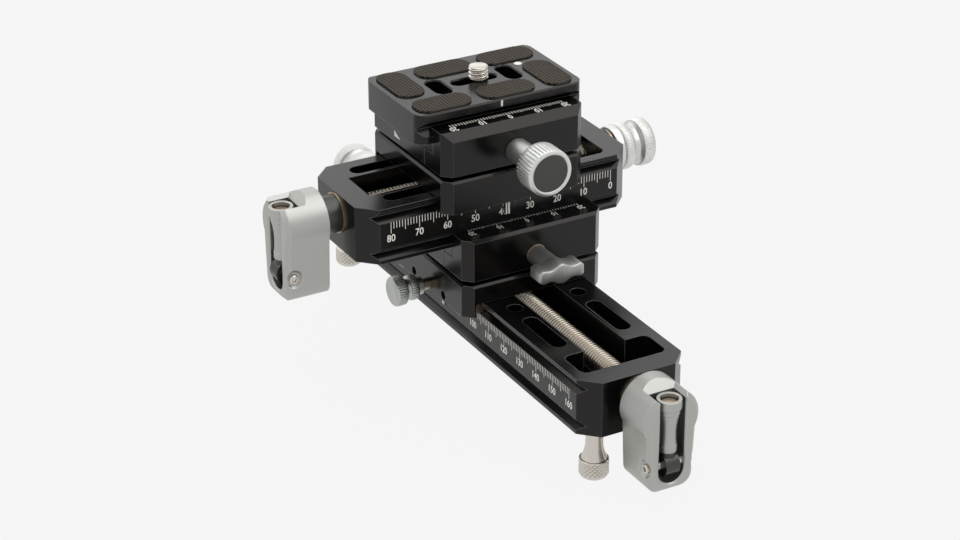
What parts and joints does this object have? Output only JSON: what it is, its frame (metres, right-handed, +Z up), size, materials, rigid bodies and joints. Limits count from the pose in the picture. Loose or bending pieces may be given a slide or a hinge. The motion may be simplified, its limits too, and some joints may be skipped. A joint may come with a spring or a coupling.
{
  "type": "macro focusing rail",
  "caption": "Two-axis macro focusing rail: a long dovetail rail on feet carries a clamp, a short cross rail and a quick-release plate, with folding cranks and knurled knobs.",
  "frame": {"origin": "on the axis of the quarter-inch tripod socket, at the middle of the lower rail's underside", "axes": "+X along the upper rail towards its knurled knob, +Y along the lower rail towards its knurled knob, +Z up"},
  "size_m": [0.1376, 0.2153, 0.1038],
  "materials": {
    "black_anodised": "black anodised, satin",
    "grey_anodised": "black anodised, fine bead-blasted sheen",
    "silver_aluminium": "bead-blasted, clear anodised",
    "screw_steel": "turned",
    "bright_steel": "turned, bright",
    "brass": "turned",
    "gunmetal": "grey anodised",
    "dark_steel": "blackened",
    "black_polymer": "moulded",
    "white_mark": "painted",
    "pad_rubber": "cross-hatched"
  },
  "bodies": {
    "base": {"lower_rail": "grey_anodised", "lower_bushes": "black_polymer", "lower_thrust_rings": "brass", "feet": "bright_steel"},
    "lower_drive": {"lower_lead_screw": "screw_steel", "lower_screw_collar": "dark_steel", "lower_end_knob": "silver_aluminium", "lower_crank_housing": "silver_aluminium", "lower_crank_pivot": "bright_steel"},
    "lower_handle": {"lower_crank_knuckle": "dark_steel", "lower_crank_axle": "brass"},
    "lower_handle_grip": {"lower_crank_grip": "silver_aluminium"},
    "lower_slide": {"lower_carriage": "black_anodised", "lower_lead_nut": "brass", "lower_gib": "brass", "lower_gib_screws": "dark_steel", "lower_index_tab": "white_mark", "lower_clamp_base": "black_anodised", "lower_clamp_screws": "dark_steel"},
    "lower_pad": {"lower_lock_pad": "black_polymer"},
    "lower_lock": {"lower_lock_stud": "brass", "lower_lock_knob": "gunmetal"},
    "lower_jaw": {"lower_clamp_jaw": "black_anodised", "lower_guide_pins": "bright_steel"},
    "lower_wing": {"lower_clamp_stud": "bright_steel", "lower_clamp_washer": "brass", "wing_knob": "gunmetal"},
    "upper_base": {"upper_rail": "grey_anodised", "upper_bushes": "black_polymer", "upper_thrust_rings": "brass"},
    "upper_drive": {"upper_lead_screw": "screw_steel", "upper_screw_collar": "dark_steel", "upper_end_knob": "silver_aluminium", "upper_crank_housing": "silver_aluminium", "upper_crank_pivot": "bright_steel"},
    "upper_handle": {"upper_crank_knuckle": "dark_steel", "upper_crank_axle": "brass"},
    "upper_handle_grip": {"upper_crank_grip": "silver_aluminium"},
    "upper_slide": {"upper_carriage": "black_anodised", "upper_lead_nut": "brass", "upper_gib": "brass", "upper_gib_screws": "dark_steel", "upper_index_tab": "white_mark", "top_clamp_base": "black_anodised", "top_clamp_screws": "dark_steel"},
    "upper_pad": {"upper_lock_pad": "black_polymer"},
    "upper_lock": {"upper_lock_stud": "brass", "upper_lock_knob": "gunmetal"},
    "top_jaw": {"top_clamp_jaw": "black_anodised", "top_guide_pins": "bright_steel"},
    "top_knob": {"top_clamp_stud": "bright_steel", "round_knob": "silver_aluminium", "round_knob_disc": "gunmetal"},
    "plate": {"quick_release_plate": "grey_anodised", "plate_pads": "pad_rubber"},
    "screw_carrier": {"camera_screw_washer": "dark_steel"},
    "screw": {"camera_screw": "bright_steel"}
  },
  "joints": [
    {"name": "lower_travel", "type": "slide", "parent": "base", "child": "lower_slide", "axis": [0, 1, 0], "range_m": [-0.045, 0.063]},
    {"name": "lower_screw_turn", "type": "hinge", "parent": "base", "child": "lower_drive", "pos_m": [0, 0, 0.0118], "axis": [0, 1, 0], "continuous": true},
    {"name": "lower_handle_fold", "type": "hinge", "parent": "lower_drive", "child": "lower_handle", "pos_m": [0, -0.1057, -0.0039], "axis": [1, 0, 0], "range_deg": [0, 90]},
    {"name": "lower_grip_spin", "type": "hinge", "parent": "lower_handle", "child": "lower_handle_grip", "pos_m": [0, -0.1057, 0.001], "axis": [0, 0, 1], "continuous": true},
    {"name": "lower_lock_press", "type": "slide", "parent": "lower_slide", "child": "lower_pad", "axis": [1, 0, 0], "range_m": [0, 0.0012]},
    {"name": "lower_lock_turn", "type": "hinge", "parent": "lower_pad", "child": "lower_lock", "pos_m": [-0.03, -0.001, 0.0168], "axis": [1, 0, 0], "continuous": true},
    {"name": "lower_jaw_open", "type": "slide", "parent": "lower_slide", "child": "lower_jaw", "axis": [0, -1, 0], "range_m": [0, 0.003]},
    {"name": "wing_turn", "type": "hinge", "parent": "lower_jaw", "child": "lower_wing", "pos_m": [0, -0.03, 0.0322], "axis": [0, 1, 0], "continuous": true},
    {"name": "upper_rail_shift", "type": "slide", "parent": "lower_slide", "child": "upper_base", "axis": [1, 0, 0], "range_m": [-0.015, 0.018]},
    {"name": "upper_travel", "type": "slide", "parent": "upper_base", "child": "upper_slide", "axis": [1, 0, 0], "range_m": [-0.025, 0.0215]},
    {"name": "upper_screw_turn", "type": "hinge", "parent": "upper_base", "child": "upper_drive", "pos_m": [-0.0077, 0.0012, 0.04855], "axis": [1, 0, 0], "continuous": true},
    {"name": "upper_handle_fold", "type": "hinge", "parent": "upper_drive", "child": "upper_handle", "pos_m": [-0.0757, 0.0012, 0.03285], "axis": [0, -1, 0], "range_deg": [0, 90]},
    {"name": "upper_grip_spin", "type": "hinge", "parent": "upper_handle", "child": "upper_handle_grip", "pos_m": [-0.0757, 0.0012, 0.038], "axis": [0, 0, 1], "continuous": true},
    {"name": "upper_lock_press", "type": "slide", "parent": "upper_slide", "child": "upper_pad", "axis": [0, -1, 0], "range_m": [0, 0.0012]},
    {"name": "upper_lock_turn", "type": "hinge", "parent": "upper_pad", "child": "upper_lock", "pos_m": [-0.006, 0.03, 0.05355], "axis": [0, -1, 0], "continuous": true},
    {"name": "top_jaw_open", "type": "slide", "parent": "upper_slide", "child": "top_jaw", "axis": [0, -1, 0], "range_m": [0, 0.003]},
    {"name": "round_knob_turn", "type": "hinge", "parent": "top_jaw", "child": "top_knob", "pos_m": [-0.006, -0.03, 0.06895], "axis": [0, 1, 0], "continuous": true},
    {"name": "plate_shift", "type": "slide", "parent": "upper_slide", "child": "plate", "axis": [1, 0, 0], "range_m": [-0.015, 0.015]},
    {"name": "camera_screw_shift", "type": "slide", "parent": "plate", "child": "screw_carrier", "axis": [1, 0, 0], "range_m": [-0.007, 0.0037]},
    {"name": "camera_screw_turn", "type": "hinge", "parent": "screw_carrier", "child": "screw", "pos_m": [-0.005, 0.002, 0.08], "axis": [0, 0, 1], "continuous": true}
  ],
  "couplings": [
    {"joint": "lower_screw_turn", "follows": "lower_travel", "rad_per_m": -5026.5},
    {"joint": "upper_screw_turn", "follows": "upper_travel", "rad_per_m": -5026.5},
    {"joint": "lower_lock_turn", "follows": "lower_lock_press", "rad_per_m": 7854},
    {"joint": "upper_lock_turn", "follows": "upper_lock_press", "rad_per_m": 7854},
    {"joint": "wing_turn", "follows": "lower_jaw_open", "rad_per_m": -7854},
    {"joint": "round_knob_turn", "follows": "top_jaw_open", "rad_per_m": -7854}
  ]
}
